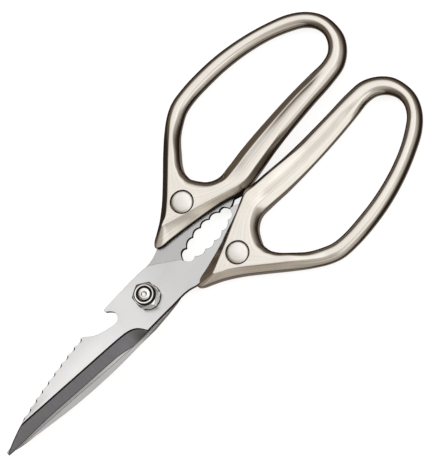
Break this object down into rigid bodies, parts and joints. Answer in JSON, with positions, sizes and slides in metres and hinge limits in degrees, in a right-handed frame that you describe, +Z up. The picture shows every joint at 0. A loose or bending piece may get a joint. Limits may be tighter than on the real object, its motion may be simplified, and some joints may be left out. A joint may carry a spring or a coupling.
{
  "type": "poultry shears",
  "caption": "Poultry shears with bevelled blades, scaler teeth, opener notch, nutcracker grip, lock-nut pivot and riveted cast loop handles.",
  "frame": {"origin": "on the pivot axis, on the flat face of the bolt head that the shears lie on", "axes": "+X from the pivot to the blade tips, +Y to the front half's handle, +Z up towards the pivot nut"},
  "size_m": [0.2235, 0.1016, 0.0152],
  "materials": {
    "blade_steel": "satin ground stainless steel",
    "cast_handle": "satin nickel plating on a zinc casting",
    "rivet_steel": "spun satin",
    "pivot_steel": "bright plated",
    "nylon": "moulded nylon"
  },
  "bodies": {
    "rear_half": {"rear_blade": "blade_steel", "rear_handle": "cast_handle", "rear_rivet": "rivet_steel", "rear_rivet_cap": "rivet_steel", "pivot_bolt": "pivot_steel", "pivot_washer": "pivot_steel", "pivot_nut": "pivot_steel", "pivot_nut_insert": "nylon"},
    "front_half": {"front_blade": "blade_steel", "front_handle": "cast_handle", "front_rivet": "rivet_steel", "front_rivet_cap": "rivet_steel"}
  },
  "joints": [
    {"name": "blade_pivot", "type": "hinge", "parent": "rear_half", "child": "front_half", "pos_m": [0, 0, 0.005], "axis": [0, 0, -1], "range_deg": [0, 110]}
  ]
}
